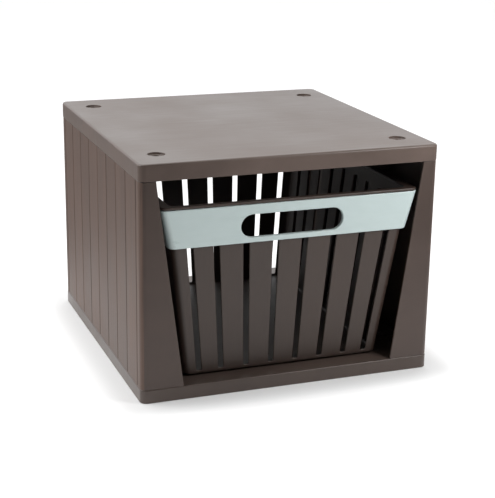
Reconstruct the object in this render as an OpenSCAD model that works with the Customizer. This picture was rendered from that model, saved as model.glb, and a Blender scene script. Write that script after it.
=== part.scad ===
// Stackable storage box with a pull-out slatted basket.
// The origin is on the floor under the middle of the case. The basket pulls out towards -Y.

/* [Case] */
// Overall width of the case
case_w = 390; // [360:5:440]
// Overall depth of the case
case_d = 406; // [380:2:440]
// Overall height of the case
case_h = 300; // [290:5:340]
// Height of the top panel's edge skirt
top_h = 21; // [18:0.5:26]
// Height of the bottom panel
base_h = 17.5; // [17:0.5:22]
// Wall thickness of the case mouldings
case_wall = 3; // [2.5:0.5:4]
// Radius of the case's four upright corners
corner_r = 9; // [7:0.5:12]
// Radius along the top panel's upper edge
arris_r = 3; // [2:0.5:4]
// Radius along the bottom panel's upper edge
sill_r = 1.2; // [1:0.1:2]
// How far the side panels stand back from the top and bottom panels
side_inset = 0.4; // [0.2:0.1:1]

/* [Side panels] */
// Thickness of a side panel at its top edge
side_top_t = 20.5; // [18:0.5:24]
// Thickness of a side panel at its bottom edge
side_bottom_t = 54.5; // [50:0.5:56]
// Distance between plank grooves
plank_pitch = 46; // [40:1:50]
// Number of plank grooves on each side panel
plank_grooves = 9; // [5:2:9]
// Width of a plank groove at the surface
groove_w = 2.4; // [1.5:0.1:3]
// Depth of a plank groove
groove_depth = 1.2; // [0.6:0.1:1.6]

/* [Stacking sockets] */
// Distance between socket centres across the case
socket_dx = 320; // [300:2:330]
// Distance between socket centres from front to back
socket_dy = 308; // [290:2:320]
// Diameter of the shallow dish around each top socket
dish_d = 20; // [18:0.5:22]
// Depth of that dish
dish_depth = 2.5; // [2:0.5:4]
// Diameter of the socket bore
socket_d = 11; // [10:0.5:12]
// Depth of the socket bore
socket_depth = 12; // [10:0.5:12]

/* [Basket] */
// Wall and floor thickness of the basket
basket_wall = 2.5; // [2:0.5:3]
// Height of the basket's floor above the ground
basket_z0 = 19.5; // [19.5:0.1:21]
// Height of the underside of the basket's rim
rim_z = 242.5; // [240:0.5:244]
// Thickness of the rim
rim_t = 3; // [2:0.5:4]
// Half width of the basket at its floor
basket_half_w0 = 131.7; // [128:0.1:133]
// Half width of the basket at its rim
basket_half_w1 = 159.3; // [155:0.1:160]
// Width of the rim flange outside the walls
rim_flange = 9; // [7:0.5:9]
// Radius of the basket's upright corners
basket_r = 9; // [7:1:12]
// Number of slots in the front wall, and in the back wall
end_slots = 8; // [8]
// Number of slots in each side wall
side_slots = 9; // [7:2:9]
// Height at which the slots start
slot_z0 = 25; // [24:1:40]
// Height at which the slots of the back and side walls end
slot_z1 = 226; // [200:1:230]

/* [Grip band] */
// Height of the band's lower edge
band_z0 = 192.5; // [192:0.5:194]
// Height of the band's upper edge
band_z1 = 241.8; // [240:0.1:241.8]
// Thickness of the band
band_t = 2.3; // [2:0.1:2.4]
// How far the band runs back along each side
band_return = 42; // [30:1:60]
// Length of the hand slot
hand_w = 134.5; // [120:0.5:140]
// Height of the hand slot
hand_h = 29.5; // [26:0.5:30]
// Depth of the lip around the hand slot
lip_depth = 4.5; // [4:0.5:12]

/* [Hidden] */

$fn = 48;
brown = [0.30, 0.25, 0.23];
basket_brown = [0.27, 0.24, 0.22];
band_blue = [0.74, 0.80, 0.80];
eps = 0.01;
far = 600;

// case
half_w = case_w / 2;
half_d = case_d / 2;
side_z0 = base_h;
side_z1 = case_h - top_h;
side_out = half_w - side_inset;
side_half_d = half_d - side_inset;
inner_top = half_w - side_top_t;
inner_bottom = half_w - side_bottom_t;
arris_steps = 5;
sheet_t = 3;
rib_t = 2.4;
rib_pitch = 67.5;
rib_count = 5;
rib_depth = 12;
boss_d = 25;
boss_wall = 2;
tongue_y = [-101.25, -33.75, 33.75, 101.25];
tongue_l = 40;
tongue_h = 8;
tongue_t = 5;
tongue_gap = 3.5;
peg_l = 46;
peg_h = 6;
peg_t = 20;
peg_out = 9;
stop_y = 155.6;
stop_t = 3;
stop_h = 5.5;
stop_l = 220;

// basket: each wall is a plane, so its place follows the height in a straight line
basket_front0 = -177;
basket_front1 = -199.8;
basket_back0 = 154;
basket_back1 = 182;
foot_r = 3;
runner_x = 88;
runner_w = 5;
runner_gap = 0.3;
hand_z = 214.2;
hand_front_gap = 3.2;
slot_front_z1 = 193.5;
front_slot_share = [0.126, 0.379, 0.632, 0.851];
back_slot_share = [0.131, 0.393, 0.655, 0.8815];
end_slot_half = 0.0265;
side_slot_half = 0.0255;
window_gap = 0.6;
lip_t = 1.6;
band_half_w0 = 157.5;
band_half_w1 = 168.6;
band_front0 = -198.3;
band_front1 = -202.8;
band_r = 9;
rim_front_y = band_front1 + 0.3;
rim_front_w = 8;

function at_height(z, low, high) = low + (high - low) * (z - basket_z0) / (rim_z - basket_z0);
function basket_half_w(z) = at_height(z, basket_half_w0, basket_half_w1);
function basket_front(z) = at_height(z, basket_front0, basket_front1);
function basket_back(z) = at_height(z, basket_back0, basket_back1);
function middle_y(z) = (basket_front(z) + basket_back(z)) / 2;
function half_length(z) = (basket_back(z) - basket_front(z)) / 2;
function rib_place(i) = (i - (rib_count - 1) / 2) * rib_pitch;

// a rectangle with round corners, from its four sides
module round_rect(x0, x1, y0, y1, r) {
    translate([x0 + r, y0]) square([x1 - x0 - 2 * r, y1 - y0]);
    translate([x0, y0 + r]) square([x1 - x0, y1 - y0 - 2 * r]);
    for (x = [x0 + r, x1 - r], y = [y0 + r, y1 - r])
        translate([x, y]) circle(r);
}

// a slab the size of the case, with a round upper edge
module case_slab(h, edge_r) {
    hull() {
        linear_extrude(eps) round_rect(-half_w, half_w, -half_d, half_d, corner_r);
        for (i = [0 : arris_steps]) {
            turn = 90 * i / arris_steps;
            inset = edge_r * (1 - cos(turn));
            translate([0, 0, h - eps - edge_r * (1 - sin(turn))]) linear_extrude(eps)
                round_rect(inset - half_w, half_w - inset, inset - half_d, half_d - inset, corner_r - inset);
        }
    }
}

// the hollow under a panel's sheet, inside its skirt
module panel_hollow(h) {
    translate([0, 0, -eps]) linear_extrude(h + eps)
        round_rect(case_wall - half_w, half_w - case_wall, case_wall - half_d, half_d - case_wall,
                   corner_r - case_wall);
}

// crossing ribs, cut off at the skirt's inner face
module ribs(z, h) {
    for (i = [0 : rib_count - 1]) {
        translate([case_wall - half_w - eps, rib_place(i) - rib_t / 2, z])
            cube([case_w - 2 * case_wall + 2 * eps, rib_t, h + eps]);
        translate([rib_place(i) - rib_t / 2, case_wall - half_d - eps, z])
            cube([rib_t, case_d - 2 * case_wall + 2 * eps, h + eps]);
    }
}

module at_sockets() {
    for (x = [-1, 1], y = [-1, 1])
        translate([x * socket_dx / 2, y * socket_dy / 2, 0]) children();
}

module top_panel() {
    color(brown) translate([0, 0, side_z1]) difference() {
        union() {
            difference() {
                case_slab(top_h, arris_r);
                panel_hollow(top_h - sheet_t);
            }
            ribs(top_h - sheet_t - rib_depth, rib_depth);
            at_sockets() translate([0, 0, top_h - socket_depth - boss_wall])
                cylinder(d = boss_d, h = socket_depth);
        }
        at_sockets() {
            translate([0, 0, top_h - dish_depth]) cylinder(d = dish_d, h = dish_depth + eps);
            translate([0, 0, top_h - socket_depth]) cylinder(d = socket_d, h = socket_depth + eps);
        }
    }
}

module bottom_panel() {
    color(brown) {
        difference() {
            union() {
                difference() {
                    case_slab(base_h, sill_r);
                    panel_hollow(base_h - sheet_t);
                }
                ribs(0, base_h - sheet_t);
                at_sockets() cylinder(d = boss_d, h = base_h - sheet_t + eps);
            }
            at_sockets() translate([0, 0, -eps]) cylinder(d = socket_d, h = socket_depth + eps);
        }
        // pegs that locate the side panels
        for (s = [-1, 1], y = tongue_y)
            translate([s * (side_out - peg_out - peg_t / 2) - peg_t / 2, y - peg_l / 2, base_h - eps])
                cube([peg_t, peg_l, peg_h]);
        // low lip that stops the basket at the back
        translate([-stop_l / 2, stop_y, base_h - eps]) cube([stop_l, stop_t, stop_h]);
    }
}

// the right side panel; the left one is its mirror image
module side_panel() {
    color(brown) {
        difference() {
            intersection() {
                translate([0, side_half_d, 0]) rotate([90, 0, 0]) linear_extrude(2 * side_half_d)
                    polygon([[side_out, side_z0], [side_out, side_z1], [inner_top, side_z1],
                             [inner_bottom, side_z0]]);
                linear_extrude(case_h)
                    round_rect(-side_out, side_out, -side_half_d, side_half_d, corner_r - side_inset);
            }
            // three cells, open towards the basket and at the bottom
            for (i = [-1 : 1])
                translate([0, (i + 0.5) * cell_pitch - case_wall / 2, 0])
                    rotate([90, 0, 0]) linear_extrude(cell_pitch - case_wall) cell_outline();
            for (i = [0 : plank_grooves - 1])
                translate([side_out, (i - (plank_grooves - 1) / 2) * plank_pitch, side_z0 - 1])
                    linear_extrude(side_z1 - side_z0 + 2)
                        polygon([[eps, -groove_w / 2], [-groove_depth, 0], [eps, groove_w / 2]]);
        }
        // tongues that snap inside the top panel's skirt
        for (y = tongue_y)
            translate([side_out - case_wall - tongue_gap - tongue_t, y - tongue_l / 2, side_z1 - eps])
                cube([tongue_t, tongue_l, tongue_h]);
    }
}
cell_pitch = (2 * side_half_d - case_wall) / 3;
module cell_outline() {
    x = side_out - case_wall * 1.15;
    polygon([[x, side_z0 - 1], [x, side_z1 - case_wall], [0, side_z1 - case_wall], [0, side_z0 - 1]]);
}

module side_panel_right() { side_panel(); }
module side_panel_left() { mirror([1, 0, 0]) side_panel(); }

// one level of the basket's outline, set in from the outer face
module basket_level(z, inset) {
    translate([0, 0, z]) linear_extrude(eps)
        round_rect(inset - basket_half_w(z), basket_half_w(z) - inset,
                   basket_front(z) + inset, basket_back(z) - inset, basket_r - inset);
}

// the walls with their round corners, above the floor
module basket_shell() {
    difference() {
        hull() {
            basket_level(floor_z1, 0);
            basket_level(rim_z - eps, 0);
        }
        hull() {
            basket_level(floor_z1 - 1, basket_wall);
            basket_level(rim_z + 1, basket_wall);
        }
    }
}
floor_z1 = basket_z0 + basket_wall;

// the slots fan out with the walls' taper
module end_slot_cuts(z1, shares) {
    for (s = [-1, 1], share = shares)
        rotate([90, 0, 0]) linear_extrude(far, center = true)
            polygon([for (p = [[slot_z0, -1], [slot_z0, 1], [z1, 1], [z1, -1]])
                     [basket_half_w(p[0]) * (s * share + p[1] * end_slot_half), p[0]]]);
}
module side_slot_cuts() {
    for (i = [0 : side_slots - 1]) {
        share = (i - (side_slots - 1) / 2) * 1.6 / (side_slots - 1);
        rotate([90, 0, 90]) linear_extrude(far, center = true)
            polygon([for (p = [[slot_z0, -1], [slot_z0, 1], [slot_z1, 1], [slot_z1, -1]])
                     [middle_y(p[0]) + half_length(p[0]) * (share + p[1] * side_slot_half), p[0]]]);
    }
}

module stadium(w, h) {
    square([w - h, h], center = true);
    for (s = [-1, 1])
        translate([s * (w - h) / 2, 0]) circle(d = h);
}
module hand_cut(grow, y0, depth) {
    translate([0, y0, hand_z]) rotate([-90, 0, 0]) linear_extrude(depth)
        stadium(hand_w + 2 * grow, hand_h + 2 * grow);
}

// the front (s = -1) or back (s = 1) quarter of the basket's plan, mitred at 45 degrees through the corners
mid_z = (basket_z0 + rim_z) / 2;
mitre_front = basket_front(mid_z) + basket_half_w(mid_z);
mitre_back = basket_back(mid_z) - basket_half_w(mid_z);
module front_quarter() { polygon([[0, mitre_front], [-far, mitre_front - far], [far, mitre_front - far]]); }
module back_quarter() { polygon([[0, mitre_back], [far, mitre_back + far], [-far, mitre_back + far]]); }
module right_quarter() {
    polygon([[0, mitre_front], [far, mitre_front - far], [far, mitre_back + far], [0, mitre_back]]);
}

module basket_floor() {
    color(basket_brown) {
        hull() {
            basket_level(basket_z0, foot_r * 0.6);
            basket_level(basket_z0 + basket_wall * 0.6, 0);
            basket_level(floor_z1 - eps, 0);
        }
        for (s = [-1, 1])
            translate([s * runner_x - runner_w / 2, basket_front0 + 12, base_h + runner_gap])
                cube([runner_w, basket_back0 - basket_front0 - 24, basket_z0 - base_h - runner_gap + eps]);
    }
}
module basket_front_wall() {
    color(basket_brown) difference() {
        intersection() {
            basket_shell();
            linear_extrude(case_h) front_quarter();
        }
        end_slot_cuts(slot_front_z1, front_slot_share);
        hand_cut(lip_t + window_gap, -half_d, far / 2);
    }
}
module basket_back_wall() {
    color(basket_brown) difference() {
        intersection() {
            basket_shell();
            linear_extrude(case_h) back_quarter();
        }
        end_slot_cuts(slot_z1, back_slot_share);
    }
}
module basket_right_wall() {
    color(basket_brown) difference() {
        intersection() {
            basket_shell();
            linear_extrude(case_h) right_quarter();
        }
        side_slot_cuts();
    }
}
module basket_left_wall() { mirror([1, 0, 0]) basket_right_wall(); }

// the flange around the basket's top
module rim_ring() {
    difference() {
        round_rect(-basket_half_w1 - rim_flange, basket_half_w1 + rim_flange,
                   rim_front_y, basket_back1 + rim_flange, basket_r + 1);
        round_rect(basket_wall - basket_half_w1, basket_half_w1 - basket_wall,
                   rim_front_y + rim_front_w, basket_back1 - basket_wall, basket_r - basket_wall);
    }
}
module rim_front() {
    color(basket_brown) translate([0, 0, rim_z]) linear_extrude(rim_t) intersection() {
        rim_ring();
        front_quarter();
    }
}
module rim_back() {
    color(basket_brown) translate([0, 0, rim_z]) linear_extrude(rim_t) intersection() {
        rim_ring();
        back_quarter();
    }
}
module rim_right() {
    color(basket_brown) translate([0, 0, rim_z]) linear_extrude(rim_t) intersection() {
        rim_ring();
        right_quarter();
    }
}
module rim_left() { mirror([1, 0, 0]) rim_right(); }

// one level of the band's outline; only its front part is used
module band_level(z, half, front, inset) {
    translate([0, 0, z]) linear_extrude(eps)
        round_rect(inset - half, half - inset, front + inset, 0, band_r - inset);
}
module grip_band() {
    color(band_blue) difference() {
        union() {
            difference() {
                hull() {
                    band_level(band_z0, band_half_w0, band_front0, 0);
                    band_level(band_z1 - eps, band_half_w1, band_front1, 0);
                }
                hull() {
                    band_level(band_z0 - 1, band_half_w0 - 0.225, band_front0 + 0.09, band_t);
                    band_level(band_z1 + 1, band_half_w1 + 0.225, band_front1 - 0.09, band_t);
                }
                translate([-far / 2, band_return - half_d, 0]) cube([far, far, case_h]);
            }
            hand_cut(lip_t, hand_front_gap - half_d, lip_depth);
        }
        hand_cut(0, -half_d - 10, 60);
    }
}

top_panel();
bottom_panel();
side_panel_left();
side_panel_right();
basket_floor();
basket_front_wall();
basket_back_wall();
basket_left_wall();
basket_right_wall();
rim_front();
rim_back();
rim_left();
rim_right();
grip_band();
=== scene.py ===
from math import cos, pi, radians, sin
import bpy
import bmesh
from mathutils import Matrix, Vector


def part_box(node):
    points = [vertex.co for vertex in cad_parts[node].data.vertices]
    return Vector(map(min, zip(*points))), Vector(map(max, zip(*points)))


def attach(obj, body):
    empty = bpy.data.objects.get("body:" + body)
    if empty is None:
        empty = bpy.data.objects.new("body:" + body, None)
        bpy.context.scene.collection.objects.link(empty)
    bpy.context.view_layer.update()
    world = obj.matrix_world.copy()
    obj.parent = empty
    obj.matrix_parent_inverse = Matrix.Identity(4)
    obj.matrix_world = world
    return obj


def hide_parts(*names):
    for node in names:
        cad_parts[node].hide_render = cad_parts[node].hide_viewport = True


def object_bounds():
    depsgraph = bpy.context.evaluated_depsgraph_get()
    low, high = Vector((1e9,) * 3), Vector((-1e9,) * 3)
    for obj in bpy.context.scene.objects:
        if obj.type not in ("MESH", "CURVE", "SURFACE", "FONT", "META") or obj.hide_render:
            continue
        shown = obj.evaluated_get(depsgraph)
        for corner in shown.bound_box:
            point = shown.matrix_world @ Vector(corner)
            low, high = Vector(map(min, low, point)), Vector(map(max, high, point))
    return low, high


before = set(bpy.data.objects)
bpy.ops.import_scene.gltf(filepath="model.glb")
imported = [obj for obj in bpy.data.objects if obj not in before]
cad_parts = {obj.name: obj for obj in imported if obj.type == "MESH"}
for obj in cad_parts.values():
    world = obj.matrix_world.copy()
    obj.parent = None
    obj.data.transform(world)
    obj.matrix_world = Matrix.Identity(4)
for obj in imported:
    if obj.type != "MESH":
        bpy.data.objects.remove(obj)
cadLow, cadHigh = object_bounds()
mm = 0.001
reach = 0.6  # longer than any side of the box, for cutters that go right through

# boxes of the main parts, from the frame
topLow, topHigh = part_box("top_panel")
sideLow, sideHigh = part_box("side_panel_right")
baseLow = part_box("bottom_panel")[0]
bandLow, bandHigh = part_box("grip_band")
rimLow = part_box("rim_right")[0]
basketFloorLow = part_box("basket_floor")[0]
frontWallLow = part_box("basket_front_wall")[0]


# mesh helpers

def linkObject(name, bm):
    bmesh.ops.remove_doubles(bm, verts=bm.verts, dist=0.01 * mm)
    bmesh.ops.recalc_face_normals(bm, faces=bm.faces)
    mesh = bpy.data.meshes.new(name)
    bm.to_mesh(mesh)
    bm.free()
    obj = bpy.data.objects.new(name, mesh)
    bpy.context.scene.collection.objects.link(obj)
    return obj


def roundCorners(bm, corners, radius, segments):
    # rounds the corners of a lone flat face and returns the face
    made = bmesh.ops.bevel(bm, geom=corners, offset=radius, segments=segments, profile=0.5,
                           affect="VERTICES", material=-1)["verts"]
    return made[0].link_faces[0]


def plate(bm, x0, x1, y0, y1, z, radius, segments=8):
    # a flat face with round corners
    made = bmesh.ops.create_grid(bm, x_segments=1, y_segments=1, size=0.5)["verts"]
    bmesh.ops.scale(bm, vec=(x1 - x0, y1 - y0, 1), verts=made)
    bmesh.ops.translate(bm, vec=((x0 + x1) / 2, (y0 + y1) / 2, z), verts=made)
    return roundCorners(bm, made, radius, segments) if radius else made[0].link_faces[0]


def pullFace(bm, face):
    # extrudes one face, and drops the old one unless it is the end of a new solid
    alone = face.edges[0].is_boundary
    grown = bmesh.ops.extrude_face_region(bm, geom=[face])["geom"]
    if not alone:
        bmesh.ops.delete(bm, geom=[face], context="FACES_ONLY")
    return [g for g in grown if isinstance(g, bmesh.types.BMFace)][0]


def stepFace(bm, face, rise, wider=0.0, front=0.0, back=0.0):
    # pulls a face and moves its four sides outwards, so that round corners keep their radius
    newFace = pullFace(bm, face)
    middle = newFace.calc_center_bounds()
    for vert in newFace.verts:
        vert.co.x += wider if vert.co.x > middle.x else -wider
        vert.co.y += back if vert.co.y > middle.y else -front
        vert.co.z += rise
    return newFace


def slab(bm, x0, x1, y0, y1, z0, z1, radius=0.0, segments=8):
    return stepFace(bm, plate(bm, x0, x1, y0, y1, z0, radius, segments), z1 - z0)


def disc(bm, x, y, z0, z1, radius, segments=40):
    place = Matrix.Translation((x, y, (z0 + z1) / 2))
    bmesh.ops.create_cone(bm, cap_ends=True, segments=segments, radius1=radius, radius2=radius,
                          depth=z1 - z0, matrix=place)


def prism(bm, corners, along, radius, segments=4):
    # an outline of a few corners, with its corners rounded, pushed along a direction
    verts = [bm.verts.new(c) for c in corners]
    bm.faces.new(verts)
    outline = roundCorners(bm, verts, radius, segments)
    bmesh.ops.translate(bm, vec=along, verts=pullFace(bm, outline).verts)


def combine(obj, bm, operation):
    # applies a boolean with the shapes in bm
    tool = linkObject("tool", bm)
    modifier = obj.modifiers.new("combine", "BOOLEAN")
    modifier.object = tool
    modifier.operation = operation
    modifier.solver = "EXACT"
    evaluated = obj.evaluated_get(bpy.context.evaluated_depsgraph_get())
    mesh = bpy.data.meshes.new_from_object(evaluated)
    obj.modifiers.clear()
    old = obj.data
    obj.data = mesh
    bpy.data.meshes.remove(old)
    bpy.data.objects.remove(tool)
    bpy.context.view_layer.update()
    return obj


def roundEdges(obj, width, segments=2, angle=35):
    # moulded edges: a small bevel on every sharp edge, with flat faces kept flat
    obj.data.shade_smooth()
    bevel = obj.modifiers.new("moulded edges", "BEVEL")
    bevel.width = width
    bevel.segments = segments
    bevel.limit_method = "ANGLE"
    bevel.angle_limit = radians(angle)
    bevel.use_clamp_overlap = False
    bevel.harden_normals = True
    obj.modifiers.new("even shading", "WEIGHTED_NORMAL").keep_sharp = True
    return obj


# materials

def nodeMaker(material):
    tree = material.node_tree

    def make(kind, values=None, **settings):
        node = tree.nodes.new(kind)
        for key, value in settings.items():
            setattr(node, key, value)
        for key, value in (values or {}).items():
            if isinstance(value, bpy.types.NodeSocket):
                tree.links.new(value, node.inputs[key])
            else:
                node.inputs[key].default_value = value
        return node

    return make


def resin(name, look):
    material = bpy.data.materials.new(name)
    material.use_nodes = True
    make = nodeMaker(material)
    tree = material.node_tree
    shader = tree.nodes["Principled BSDF"]
    place = make("ShaderNodeTexCoord").outputs["Object"]
    # long streaks along the grain, and slow clouds over the whole moulding
    stretched = make("ShaderNodeMapping", {"Vector": place, "Scale": look["grainScale"]}).outputs[0]
    streaks = make("ShaderNodeTexNoise", {"Vector": stretched, "Scale": 1.0, "Detail": 5.0,
                                          "Roughness": 0.62}).outputs["Fac"]
    fine = make("ShaderNodeMapping", {"Vector": place, "Scale": [s * 3.1 for s in look["grainScale"]]})
    fineStreaks = make("ShaderNodeTexNoise", {"Vector": fine.outputs[0], "Scale": 1.0,
                                              "Detail": 3.0}).outputs["Fac"]
    clouds = make("ShaderNodeTexNoise", {"Vector": place, "Scale": look["cloudScale"],
                                         "Detail": 3.0}).outputs["Fac"]
    stipple = make("ShaderNodeTexNoise", {"Vector": place, "Scale": look["stippleScale"],
                                          "Detail": 2.0}).outputs["Fac"]
    grain = make("ShaderNodeMath", {0: streaks, 1: fineStreaks}, operation="ADD").outputs[0]
    grainRange = make("ShaderNodeMapRange", {0: grain, 1: 0.7, 2: 1.3, 3: 0.0, 4: 1.0}).outputs[0]
    tint = make("ShaderNodeMix", {"Factor": grainRange, "A": look["dark"] + (1,),
                                  "B": look["light"] + (1,)}, data_type="RGBA")
    colour = tint.outputs["Result"]
    # each plank of a side has its own shade
    if look.get("plankPitch"):
        split = make("ShaderNodeSeparateXYZ", {0: place})
        row = make("ShaderNodeMath", {0: split.outputs["Y"], 1: look["plankPitch"]}, operation="DIVIDE")
        number = make("ShaderNodeMath", {0: row.outputs[0]}, operation="FLOOR")
        chance = make("ShaderNodeTexWhiteNoise", {"W": number.outputs[0]}, noise_dimensions="1D")
        shade = make("ShaderNodeMapRange", {0: chance.outputs["Value"], 3: 1 - look["plankShade"],
                                            4: 1 + look["plankShade"]})
        toned = make("ShaderNodeVectorMath", {0: colour, "Scale": shade.outputs[0]}, operation="SCALE")
        colour = toned.outputs[0]
    cloudShade = make("ShaderNodeMapRange", {0: clouds, 1: 0.3, 2: 0.7, 3: 1 - look["cloudShade"],
                                             4: 1 + look["cloudShade"]})
    clouded = make("ShaderNodeVectorMath", {0: colour, "Scale": cloudShade.outputs[0]}, operation="SCALE")
    # edges, found by pointiness, are painted paler: partly wear from handling, partly a painted highlight
    # along the edges
    edge = make("ShaderNodeNewGeometry").outputs["Pointiness"]
    wearAndHighlightMask = make("ShaderNodeMapRange", {0: edge, 1: 0.52, 2: 0.60, 3: 0.0, 4: look["edgeWearAndHighlight"]}).outputs[0]
    paler = make("ShaderNodeMix", {"Factor": wearAndHighlightMask, "A": clouded.outputs[0], "B": look["wearAndHighlightColour"] + (1,)},
                 data_type="RGBA")
    tree.links.new(paler.outputs["Result"], shader.inputs["Base Color"])
    low, high = look["roughness"]
    rough = make("ShaderNodeMapRange", {0: clouds, 1: 0.3, 2: 0.7, 3: low, 4: high}).outputs[0]
    rougher = make("ShaderNodeMath", {0: grainRange, 1: look["grainRoughness"], 2: rough},
                   operation="MULTIPLY_ADD").outputs[0]
    tree.links.new(rougher, shader.inputs["Roughness"])
    height = make("ShaderNodeMath", {0: stipple, 1: look["stippleHeight"], 2: grainRange},
                  operation="MULTIPLY_ADD").outputs[0]
    bump = make("ShaderNodeBump", {"Strength": look["bumpStrength"], "Distance": look["bumpDistance"],
                                   "Height": height})
    tree.links.new(bump.outputs[0], shader.inputs["Normal"])
    shader.inputs["IOR"].default_value = look["ior"]
    shader.inputs["Specular IOR Level"].default_value = look["gloss"]
    return material


caseLook = {
    "light": (0.084, 0.060, 0.049), "dark": (0.066, 0.047, 0.039), "wearAndHighlightColour": (0.12, 0.09, 0.075),
    "grainScale": (9, 170, 14), "cloudScale": 7.0, "cloudShade": 0.12, "stippleScale": 1500.0,
    "stippleHeight": 0.5, "roughness": (0.32, 0.45), "grainRoughness": 0.07, "bumpStrength": 0.25,
    "bumpDistance": 0.00012, "edgeWearAndHighlight": 0.25, "ior": 1.5, "gloss": 0.5,
}
# the skirt look is the case resin painted lighter, standing in for more light on the top panel's faces other
# than its top
skirtPaintedLighterLook = dict(caseLook, light=(0.094, 0.067, 0.056), dark=(0.076, 0.054, 0.045), gloss=0.32)
# the sill look is the case resin painted darker, a painted shade on the bottom panel's faces other than its
# top
sillPaintedShadeLook = dict(caseLook, light=(0.062, 0.044, 0.036), dark=(0.050, 0.035, 0.029), gloss=0.36)
# the post look is the case resin painted darker, a painted shade on the side panels' posts and their other
# faces but the outside
postPaintedShadeLook = dict(caseLook, light=(0.052, 0.035, 0.029), dark=(0.043, 0.029, 0.024), gloss=0.32)
caseMaterial = resin("case resin", caseLook)
skirtPaintedLighterMaterial = resin("case resin, skirt painted lighter", skirtPaintedLighterLook)
sillPaintedShadeMaterial = resin("case resin, sill painted darker", sillPaintedShadeLook)
postPaintedShadeMaterial = resin("case resin, post painted darker", postPaintedShadeLook)
sideLook = dict(caseLook, grainScale=(14, 260, 4), plankPitch=46 * mm, plankShade=0.07,
                light=(0.097, 0.056, 0.041), dark=(0.044, 0.026, 0.019), bumpStrength=0.5,
                bumpDistance=0.0002, grainRoughness=0.09, roughness=(0.46, 0.54), gloss=0.32)
sideMaterial = resin("side resin with wood grain", sideLook)
basketLook = dict(caseLook, grainScale=(420, 420, 8), light=(0.040, 0.026, 0.020), dark=(0.033, 0.021, 0.016),
                  bumpStrength=0.3, roughness=(0.38, 0.46), gloss=0.42)
basketMaterial = resin("basket resin", basketLook)
gripLook = {
    "light": (0.415, 0.488, 0.482), "dark": (0.392, 0.464, 0.458), "wearAndHighlightColour": (0.62, 0.70, 0.69),
    "grainScale": (20, 60, 60), "cloudScale": 12.0, "cloudShade": 0.015, "stippleScale": 1900.0,
    "stippleHeight": 0.3, "roughness": (0.26, 0.32), "grainRoughness": 0.03, "bumpStrength": 0.12,
    "bumpDistance": 0.0001, "edgeWearAndHighlight": 0.2, "ior": 1.5, "gloss": 0.5,
}
gripMaterial = resin("grip resin", gripLook)
print("materials ready")


def finishPiece(obj, material, body, slot, *nodes):
    obj.data.materials.clear()
    obj.data.materials.append(material)
    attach(obj, body)
    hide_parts(*nodes)


# case panels

panels = {
    "cornerRadius": 9 * mm, "skirt": 3 * mm, "sheet": 3 * mm, "topArris": 3 * mm, "sillArris": 1.5 * mm,
    "ribWidth": 2.4 * mm, "ribDepth": 12 * mm, "ribPitch": 67.5 * mm, "ribCount": 5, "ribOverlap": 0.5 * mm,
    "socketX": 160 * mm, "socketY": 154 * mm, "bossRadius": 12.5 * mm, "boreRadius": 5.5 * mm,
    "boreDepth": 12 * mm, "bossFloor": 2 * mm, "dishRadius": 10.8 * mm, "dishDepth": 2.5 * mm,
    "edge": 0.6 * mm, "sunk": 1 * mm, "past": 5 * mm,
}


def panelShell(name, z0, z1, arris, underside):
    # a tray upside down: round corners, a rolled upper edge and a skirt
    bm = bmesh.new()
    top = slab(bm, cadLow.x, cadHigh.x, cadLow.y, cadHigh.y, z0, z1, panels["cornerRadius"], 8)
    bmesh.ops.bevel(bm, geom=list(top.edges), offset=arris, segments=5, profile=0.5,
                    affect="EDGES", material=-1)
    bottom = [f for f in bm.faces if abs(f.calc_center_median().z - z0) < 0.1 * mm and len(f.verts) > 4]
    bmesh.ops.inset_region(bm, faces=bottom, thickness=panels["skirt"], use_even_offset=True)
    level = [f for f in bm.faces if abs(f.normal.z) > 0.9 and len(f.verts) > 8]
    lowest = [f for f in level if abs(f.calc_center_median().z - z0) < 0.1 * mm]
    inner = min(lowest, key=lambda f: f.calc_area())
    bmesh.ops.translate(bm, vec=(0, 0, underside - z0), verts=pullFace(bm, inner).verts)
    return linkObject(name, bm)


def addRibs(obj, z0, z1):
    # ribs that cross under the sheet
    bm = bmesh.new()
    half, overlap = panels["ribWidth"] / 2, panels["ribOverlap"]
    insideX = cadHigh.x - panels["skirt"] + overlap
    insideY = cadHigh.y - panels["skirt"] + overlap
    places = [(i - (panels["ribCount"] - 1) / 2) * panels["ribPitch"] for i in range(panels["ribCount"])]
    for at in places:
        slab(bm, at - half, at + half, -insideY, insideY, z0, z1 + overlap)
    combine(obj, bm, "UNION")
    bm = bmesh.new()
    for at in places:
        slab(bm, -insideX, insideX, at - half, at + half, z0, z1 + overlap)
    return combine(obj, bm, "UNION")


def paintLightAndShadeByFacing(panel, axis, material):
    # gives every face that doesn't look along the axis the second material, a copy of the resin with painted
    # light and shade: painted lighter on the top panel's skirt, painted darker on the bottom panel's sill and
    # the side panels' posts
    panel.data.materials.append(material)
    for face in panel.data.polygons:
        face.material_index = 0 if face.normal.dot(axis) > 0.5 else 1


def atSockets(action):
    for x in (-1, 1):
        for y in (-1, 1):
            action(x * panels["socketX"], y * panels["socketY"])


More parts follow.
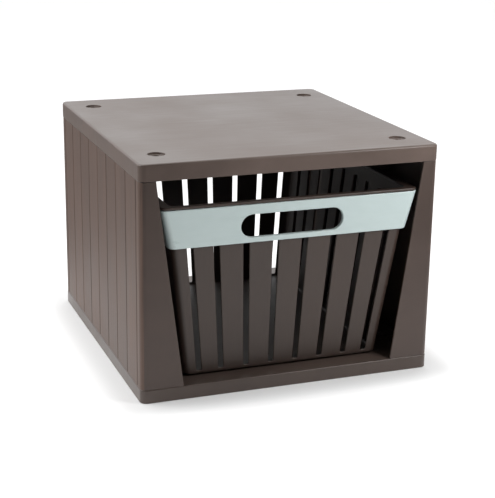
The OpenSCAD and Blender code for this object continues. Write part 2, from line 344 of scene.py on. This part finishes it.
def makeTopPanel():
    z0, z1 = topLow.z, topHigh.z
    underside = z1 - panels["sheet"]
    panel = panelShell("topPanel", z0, z1, panels["topArris"], underside)
    addRibs(panel, underside - panels["ribDepth"], underside)
    bm = bmesh.new()
    bossLow = z1 - panels["boreDepth"] - panels["bossFloor"]
    atSockets(lambda x, y: disc(bm, x, y, bossLow, z1 - panels["sunk"], panels["bossRadius"]))
    combine(panel, bm, "UNION")
    bm = bmesh.new()
    dishLow = z1 - panels["dishDepth"]
    atSockets(lambda x, y: disc(bm, x, y, dishLow, z1 + panels["past"], panels["dishRadius"]))
    combine(panel, bm, "DIFFERENCE")
    bm = bmesh.new()
    atSockets(lambda x, y: disc(bm, x, y, z1 - panels["boreDepth"], z1, panels["boreRadius"], 32))
    combine(panel, bm, "DIFFERENCE")
    roundEdges(panel, panels["edge"])
    finishPiece(panel, caseMaterial, "case", "case_resin", "top_panel")
    # the top panel's faces other than its top get the skirt copy, painted lighter
    paintLightAndShadeByFacing(panel, Vector((0, 0, 1)), skirtPaintedLighterMaterial)
    return panel


# pegs that locate the side panels
pegs = {"x": 175.6 * mm, "width": 20 * mm, "length": 46 * mm, "height": 6 * mm,
        "places": (-101.25 * mm, -33.75 * mm, 33.75 * mm, 101.25 * mm)}
# low lip that stops the basket at the back
stopLip = {"half": 110 * mm, "front": 155.6 * mm, "back": 158.6 * mm, "height": 5.5 * mm}


def makeBottomPanel():
    z0, z1 = baseLow.z, sideLow.z
    underside = z1 - panels["sheet"]
    panel = panelShell("bottomPanel", z0, z1, panels["sillArris"], underside)
    addRibs(panel, z0, underside)
    bm = bmesh.new()
    sunk = z1 - panels["sunk"]
    atSockets(lambda x, y: disc(bm, x, y, z0, sunk, panels["bossRadius"]))
    slab(bm, -stopLip["half"], stopLip["half"], stopLip["front"], stopLip["back"], sunk,
         z1 + stopLip["height"])
    for side in (-1, 1):
        for y in pegs["places"]:
            x, halfX, halfY = side * pegs["x"], pegs["width"] / 2, pegs["length"] / 2
            slab(bm, x - halfX, x + halfX, y - halfY, y + halfY, sunk, z1 + pegs["height"])
    combine(panel, bm, "UNION")
    bm = bmesh.new()
    boreTop = z0 + panels["boreDepth"]
    atSockets(lambda x, y: disc(bm, x, y, z0 - panels["past"], boreTop, panels["boreRadius"], 32))
    combine(panel, bm, "DIFFERENCE")
    roundEdges(panel, panels["edge"])
    finishPiece(panel, caseMaterial, "case", "case_resin", "bottom_panel")
    # the bottom panel's faces other than its top get the sill copy, a painted shade
    paintLightAndShadeByFacing(panel, Vector((0, 0, 1)), sillPaintedShadeMaterial)
    return panel


planks = {"wall": 3 * mm, "cells": 3, "outerWall": 3.45 * mm, "pitch": 46 * mm, "count": 9,
          "grooveWidth": 2.6 * mm, "grooveDepth": 1.3 * mm, "topThickness": 20.1 * mm,
          "cornerRadius": 8.6 * mm, "edge": 0.5 * mm, "seam": 0.5 * mm,
          "cellInside": 100 * mm, "past": 5 * mm}


def makeSidePanel(name, side):
    # a wedge: upright outside with plank grooves, sloping inside
    bm = bmesh.new()
    z0, z1 = sideLow.z, topLow.z
    outer, inner = sideHigh.x, sideLow.x
    top = slab(bm, inner, outer, sideLow.y, sideHigh.y, z0, z1 - planks["seam"])
    for vert in top.verts:
        if vert.co.x < (inner + outer) / 2:
            vert.co.x = outer - planks["topThickness"]
    corners = [e for e in bm.edges if all(abs(v.co.x - outer) < mm for v in e.verts)
               and abs(e.verts[0].co.z - e.verts[1].co.z) > mm]
    bmesh.ops.bevel(bm, geom=corners, offset=planks["cornerRadius"], segments=8, profile=0.5,
                    affect="EDGES", material=-1)
    for i in range(planks["count"]):
        y = (i - (planks["count"] - 1) / 2) * planks["pitch"]
        for shift in (-0.5, 0, 0.5):
            everything = list(bm.verts) + list(bm.edges) + list(bm.faces)
            bmesh.ops.bisect_plane(bm, geom=everything, dist=0.001 * mm, plane_no=(0, 1, 0),
                                   plane_co=(0, y + shift * planks["grooveWidth"], 0))
        for vert in bm.verts:
            if abs(vert.co.y - y) < 0.01 * mm and vert.co.x > outer - 0.1 * mm:
                vert.co.x -= planks["grooveDepth"]
    if side < 0:
        bmesh.ops.scale(bm, vec=(-1, 1, 1), verts=bm.verts)
    panel = linkObject(name, bm)
    # cells open towards the basket, with upright webs between them
    bm = bmesh.new()
    wall, depth = planks["wall"], sideHigh.y - sideLow.y
    pitch = (depth - wall) / planks["cells"]
    for i in range(planks["cells"]):
        y = sideLow.y + wall + i * pitch
        slab(bm, planks["cellInside"], outer - planks["outerWall"], y, y + pitch - wall, z0 - planks["past"],
             z1 - wall)
    if side < 0:
        bmesh.ops.scale(bm, vec=(-1, 1, 1), verts=bm.verts)
    combine(panel, bm, "DIFFERENCE")
    roundEdges(panel, planks["edge"])
    node = "side_panel_left" if side < 0 else "side_panel_right"
    finishPiece(panel, sideMaterial, "case", "case_resin", node)
    # the side panel's faces other than the outside get the post copy, a painted shade
    paintLightAndShadeByFacing(panel, Vector((side, 0, 0)), postPaintedShadeMaterial)
    return panel


makeTopPanel()
makeBottomPanel()
makeSidePanel("sidePanelLeft", -1)
makeSidePanel("sidePanelRight", 1)
print("case panels ready")


# basket

basket = {
    "wall": 2.5 * mm, "cornerRadius": 9 * mm, "foot": 3 * mm, "floorFillet": 3 * mm,
    "halfWidth": (131.7 * mm, 159.3 * mm), "front": (-177 * mm, -199.8 * mm), "back": (154 * mm, 182 * mm),
    "rimThickness": 3 * mm, "flange": 9 * mm,
    "frontFlange": 2.7 * mm, "rimInside": 1 * mm, "frontRimInside": 2.8 * mm,
    "slotBottom": 25 * mm, "slotTop": 226 * mm, "frontSlotTop": 193.5 * mm, "slotCorner": 2.2 * mm,
    "frontSlots": (0.126, 0.379, 0.632, 0.851), "backSlots": (0.131, 0.393, 0.655, 0.8815),
    "endSlotHalf": 0.0265, "sideSlots": 9, "sideSlotHalf": 0.0255, "sideSlotSpan": 0.8,
    "runnerX": 88 * mm, "runnerHalf": 2.5 * mm, "runnerEnd": 12 * mm, "runnerSunk": 0.5 * mm,
    "edge": 1.0 * mm,  # wider edges close the slots
}
# where the shapes that cut the end walls start, and how far they go
frontCut = {"start": cadLow.y - 20 * mm, "depth": 70 * mm}
backCut = {"start": cadHigh.y - 70 * mm, "depth": 90 * mm}
handCut = {"start": cadLow.y - 20 * mm, "depth": 60 * mm}
basketZ0 = frontWallLow.z - basket["wall"]
rimZ = rimLow.z


def atHeight(pair, z):
    return pair[0] + (pair[1] - pair[0]) * (z - basketZ0) / (rimZ - basketZ0)


def basketHalf(z):
    return atHeight(basket["halfWidth"], z)


def basketY(z, share):
    # share runs from -1 at the front wall to 1 at the back wall
    front, back = atHeight(basket["front"], z), atHeight(basket["back"], z)
    return (front + back) / 2 + share * (back - front) / 2


def basketStep(bm, face, zFrom, zTo, inset=0.0):
    # one step of the walls' taper, with the whole outline set in or out as well
    wider = basketHalf(zTo) - basketHalf(zFrom) - inset
    front = basketY(zFrom, -1) - basketY(zTo, -1) - inset
    back = basketY(zTo, 1) - basketY(zFrom, 1) - inset
    return stepFace(bm, face, zTo - zFrom, wider, front, back)


def basketShell():
    bm = bmesh.new()
    foot, wall, fillet = basket["foot"], basket["wall"], basket["floorFillet"]
    face = plate(bm, foot - basketHalf(basketZ0), basketHalf(basketZ0) - foot, basketY(basketZ0, -1) + foot,
                 basketY(basketZ0, 1) - foot, basketZ0, basket["cornerRadius"], 10)
    z, turns = basketZ0, 5
    for i in range(turns):
        # round lower edge
        before, after = i * pi / 2 / turns, (i + 1) * pi / 2 / turns
        rise = foot * (cos(before) - cos(after))
        face = basketStep(bm, face, z, z + rise, foot * (sin(before) - sin(after)))
        z += rise
    face = basketStep(bm, face, z, rimZ)
    flange, frontFlange = basket["flange"], basket["frontFlange"]
    face = stepFace(bm, face, 0, flange, frontFlange, flange)
    face = stepFace(bm, face, basket["rimThickness"])
    back = flange + wall + basket["rimInside"]
    face = stepFace(bm, face, 0, -back, -(frontFlange + wall + basket["frontRimInside"]), -back)
    face = stepFace(bm, face, -basket["rimThickness"])
    face = stepFace(bm, face, 0, basket["rimInside"], basket["frontRimInside"], basket["rimInside"])
    z = rimZ
    inside = basketZ0 + wall + fillet
    face = basketStep(bm, face, z, inside)
    z = inside
    for i in range(turns):
        # fillet down to the floor
        before, after = i * pi / 2 / turns, (i + 1) * pi / 2 / turns
        drop = fillet * (sin(after) - sin(before))
        face = basketStep(bm, face, z, z - drop, fillet * (cos(before) - cos(after)))
        z -= drop
    return linkObject("basket", bm)


def endSlots(shares, top, y, depth):
    bm = bmesh.new()
    for side in (-1, 1):
        for share in shares:
            corners = []
            for z, sign in ((basket["slotBottom"], -1), (basket["slotBottom"], 1), (top, 1), (top, -1)):
                corners.append((basketHalf(z) * (side * share + sign * basket["endSlotHalf"]), y, z))
            prism(bm, corners, (0, depth, 0), basket["slotCorner"])
    return bm


def sideSlots():
    bm = bmesh.new()
    count = basket["sideSlots"]
    for i in range(count):
        share = (2 * i / (count - 1) - 1) * basket["sideSlotSpan"]
        corners = []
        for z, sign in ((basket["slotBottom"], -1), (basket["slotBottom"], 1), (basket["slotTop"], 1),
                        (basket["slotTop"], -1)):
            corners.append((-reach / 2, basketY(z, share + sign * basket["sideSlotHalf"]), z))
        prism(bm, corners, (reach, 0, 0), basket["slotCorner"])
    return bm


hand = {"length": 134.5 * mm, "height": 29.5 * mm, "z": 214.2 * mm, "lip": 1.6 * mm, "lipDepth": 4.5 * mm,
        "lipSet": 0.9 * mm, "clearance": 0.6 * mm}


def stadium(bm, grow, y, depth):
    # the hand slot's outline: a bar with full round ends
    halfLength, halfHeight = hand["length"] / 2 + grow, hand["height"] / 2 + grow
    signs = ((-1, -1), (1, -1), (1, 1), (-1, 1))
    corners = [(sx * halfLength, y, hand["z"] + sz * halfHeight) for sx, sz in signs]
    prism(bm, corners, (0, depth, 0), halfHeight - 0.005 * mm, 14)


def makeBasket():
    obj = basketShell()
    frontSlots = endSlots(basket["frontSlots"], basket["frontSlotTop"], frontCut["start"], frontCut["depth"])
    combine(obj, frontSlots, "DIFFERENCE")
    backSlots = endSlots(basket["backSlots"], basket["slotTop"], backCut["start"], backCut["depth"])
    combine(obj, backSlots, "DIFFERENCE")
    combine(obj, sideSlots(), "DIFFERENCE")
    bm = bmesh.new()
    stadium(bm, hand["lip"] + hand["clearance"], handCut["start"], handCut["depth"])
    combine(obj, bm, "DIFFERENCE")
    bm = bmesh.new()
    runnerFront = basketY(basketZ0, -1) + basket["runnerEnd"]
    runnerBack = basketY(basketZ0, 1) - basket["runnerEnd"]
    for side in (-1, 1):
        # runners under the floor
        x, half = side * basket["runnerX"], basket["runnerHalf"]
        slab(bm, x - half, x + half, runnerFront, runnerBack, basketFloorLow.z,
             basketZ0 + basket["runnerSunk"])
    combine(obj, bm, "UNION")
    roundEdges(obj, basket["edge"], 3)
    finishPiece(obj, basketMaterial, "basket", "basket_resin", "basket_floor", "basket_front_wall",
                "basket_back_wall", "basket_left_wall", "basket_right_wall", "rim_front", "rim_back",
                "rim_left", "rim_right")
    return obj


band = {"thickness": 2.3 * mm, "halfWidth": (157.5 * mm, 168.6 * mm), "front": (-198.3 * mm, -202.8 * mm),
        "cornerRadius": 9 * mm, "ringBack": 60 * mm, "edge": 1.0 * mm}


def makeGripBand():
    # a ring that follows the basket's corners, cut back to its front part
    bm = bmesh.new()
    z0, z1 = bandLow.z, bandHigh.z
    half0, half1 = band["halfWidth"]
    front0, front1 = band["front"]
    rise, wide, lean, wall = z1 - z0, half1 - half0, front0 - front1, band["thickness"]
    first = plate(bm, -half0, half0, front0, band["ringBack"], z0, band["cornerRadius"], 12)
    face = stepFace(bm, first, rise, wide, lean)
    face = stepFace(bm, face, 0, -wall, -wall, -wall)
    face = stepFace(bm, face, -rise, -wide, -lean)
    lowest = [f for f in bm.faces if len(f.verts) > 4 and abs(f.calc_center_median().z - z0) < 0.1 * mm]
    bmesh.ops.delete(bm, geom=lowest, context="FACES_ONLY")
    bmesh.ops.bridge_loops(bm, edges=[e for e in bm.edges if e.is_boundary])
    everything = list(bm.verts) + list(bm.edges) + list(bm.faces)
    bmesh.ops.bisect_plane(bm, geom=everything, plane_co=(0, bandHigh.y, 0), plane_no=(0, 1, 0),
                           clear_outer=True)
    bmesh.ops.holes_fill(bm, edges=[e for e in bm.edges if e.is_boundary])
    obj = linkObject("gripBand", bm)
    bm = bmesh.new()
    # the lip leans with the band, just behind its face
    face = front0 - lean * (hand["z"] - z0) / rise
    stadium(bm, hand["lip"], face + hand["lipSet"], hand["lipDepth"])
    for vert in bm.verts:
        vert.co.y -= (vert.co.z - hand["z"]) * lean / rise
    combine(obj, bm, "UNION")
    bm = bmesh.new()
    stadium(bm, 0, handCut["start"], handCut["depth"])
    combine(obj, bm, "DIFFERENCE")
    roundEdges(obj, band["edge"], 3)
    finishPiece(obj, gripMaterial, "basket", "grip_resin", "grip_band")
    return obj


makeBasket()
makeGripBand()
print("basket ready")


# floor, light and camera

studio = {"floorSize": 30.0, "front": 0.12, "back": 1.45, "paperGlow": 0.25, "paper": 0.55,
          "brightMiddle": (0.05, 0.15, 0), "brightRadius": (0.4, 0.8), "brightPaper": 1.55, "dimPaper": 0.5,
          "seenPaper": 0.5, "seenGlow": 0.63, "paintedShadowWidth": 0.07, "paintedShadowTone": 0.4}


# name, place, target, size in metres and power in watts
boxMiddle = (0, 0, 0.15)
lights = (("leftSoft", (-0.95, 0.05, 0.95), boxMiddle, (0.8, 0.8), 11),
          ("overhead", (-0.1, 0.5, 2.0), boxMiddle, (1.2, 1.2), 14),
          ("rightFill", (0.40, -0.56, 0.52), (0.17, -0.2, 0.29), (0.25, 0.25), 3.6))


def makeFloor():
    bm = bmesh.new()
    bmesh.ops.create_grid(bm, x_segments=1, y_segments=1, size=studio["floorSize"])
    bmesh.ops.translate(bm, vec=(0, 0, cadLow.z - 0.3 * mm), verts=bm.verts)
    obj = linkObject("studioFloor", bm)
    material = bpy.data.materials.new("floor paper")
    material.use_nodes = True
    make = nodeMaker(material)
    tree = material.node_tree
    shader = tree.nodes["Principled BSDF"]
    place = make("ShaderNodeTexCoord").outputs["Object"]
    mottle = make("ShaderNodeTexNoise", {"Vector": place, "Scale": 3.0}).outputs["Fac"]
    rough = make("ShaderNodeMapRange", {0: mottle, 3: 0.75, 4: 0.85}).outputs[0]
    tree.links.new(rough, shader.inputs["Roughness"])
    # the paper is lit close to the box and dims away from it
    shifted = make("ShaderNodeVectorMath", {0: place, 1: studio["brightMiddle"]}, operation="ADD").outputs[0]
    distance = make("ShaderNodeVectorMath", {0: shifted}, operation="LENGTH").outputs["Value"]
    near, far = studio["brightRadius"]
    lit = make("ShaderNodeMapRange", {0: distance, 1: near, 2: far, 3: studio["brightPaper"],
                                      4: studio["dimPaper"]}, interpolation_type="SMOOTHSTEP").outputs[0]
    seen = make("ShaderNodeLightPath").outputs["Is Camera Ray"]
    litTone = make("ShaderNodeMath", {0: lit, 1: studio["paper"]}, operation="MULTIPLY").outputs[0]
    litGlow = make("ShaderNodeMath", {0: lit, 1: studio["paperGlow"]}, operation="MULTIPLY").outputs[0]
    tone = make("ShaderNodeMix", {"Factor": seen, "A": litTone, "B": studio["seenPaper"]}).outputs["Result"]
    # seen directly it stays white, with a painted soft contact shadow close to the case, darkest at its
    # footprint
    size = make("ShaderNodeVectorMath", {0: place}, operation="ABSOLUTE").outputs[0]
    corner = (cadHigh.x, cadHigh.y, 1)
    outside = make("ShaderNodeVectorMath", {0: size, 1: corner}, operation="SUBTRACT").outputs[0]
    gap = make("ShaderNodeVectorMath", {0: outside, 1: (0, 0, 0)}, operation="MAXIMUM").outputs[0]
    away = make("ShaderNodeVectorMath", {0: gap}, operation="LENGTH").outputs["Value"]
    paintedContactShadow = make("ShaderNodeMapRange", {0: away, 1: 0.0, 2: studio["paintedShadowWidth"], 3: studio["paintedShadowTone"],
                                       4: 1.0}, interpolation_type="SMOOTHERSTEP").outputs[0]
    seenGlow = make("ShaderNodeMath", {0: paintedContactShadow, 1: studio["seenGlow"]}, operation="MULTIPLY").outputs[0]
    glow = make("ShaderNodeMix", {"Factor": seen, "A": litGlow, "B": seenGlow}).outputs["Result"]
    tree.links.new(make("ShaderNodeCombineColor", {0: tone, 1: tone, 2: tone}).outputs[0],
                   shader.inputs["Base Color"])
    tree.links.new(glow, shader.inputs["Emission Strength"])
    shader.inputs["Specular IOR Level"].default_value = 0.2
    shader.inputs["Emission Color"].default_value = (1, 1, 1, 1)
    obj.data.materials.append(material)


def softBox(name, place, target, size, power):
    light = bpy.data.lights.new(name, "AREA")
    light.shape = "RECTANGLE"
    light.size, light.size_y = size
    light.energy = power
    obj = bpy.data.objects.new(name, light)
    bpy.context.scene.collection.objects.link(obj)
    obj.location = place
    obj.rotation_euler = (Vector(place) - Vector(target)).to_track_quat("Z", "Y").to_euler()


def makeStudio():
    # a white sweep behind and a dim room in front; seen directly it is white all round
    world = bpy.data.worlds.new("studio")
    bpy.context.scene.world = world
    world.use_nodes = True
    make = nodeMaker(world)
    background = world.node_tree.nodes["Background"]
    split = make("ShaderNodeSeparateXYZ", {0: make("ShaderNodeTexCoord").outputs["Generated"]})
    glow = make("ShaderNodeMapRange", {0: split.outputs["Y"], 1: -0.25, 2: 0.6, 3: studio["front"],
                                       4: studio["back"]}, interpolation_type="SMOOTHSTEP")
    seen = make("ShaderNodeLightPath").outputs["Is Camera Ray"]
    strength = make("ShaderNodeMix", {"Factor": seen, "A": glow.outputs[0], "B": 1.0})
    world.node_tree.links.new(strength.outputs["Result"], background.inputs["Strength"])
    background.inputs["Color"].default_value = (1, 1, 1, 1)
    for name, place, target, size, power in lights:
        softBox(name, place, target, size, power)


camera = {"place": (-591.96 * mm, -1615.3 * mm, 654.25 * mm), "azimuth": -20.638, "elevation": 17.222,
          "roll": 0.906, "lens": 94.24}


def makeCamera():
    data = bpy.data.cameras.new("camera")
    data.lens = camera["lens"]
    data.sensor_width = 36
    data.clip_end = 100
    obj = bpy.data.objects.new("camera", data)
    bpy.context.scene.collection.objects.link(obj)
    turn = Matrix.Rotation(radians(camera["azimuth"]), 4, "Z")
    tilt = Matrix.Rotation(radians(90 - camera["elevation"]), 4, "X")
    roll = Matrix.Rotation(radians(camera["roll"]), 4, "Z")
    obj.matrix_world = Matrix.Translation(camera["place"]) @ turn @ tilt @ roll
    bpy.context.scene.camera = obj


makeFloor()
makeStudio()
makeCamera()
bpy.context.scene.view_settings.view_transform = "Standard"
print("studio ready")
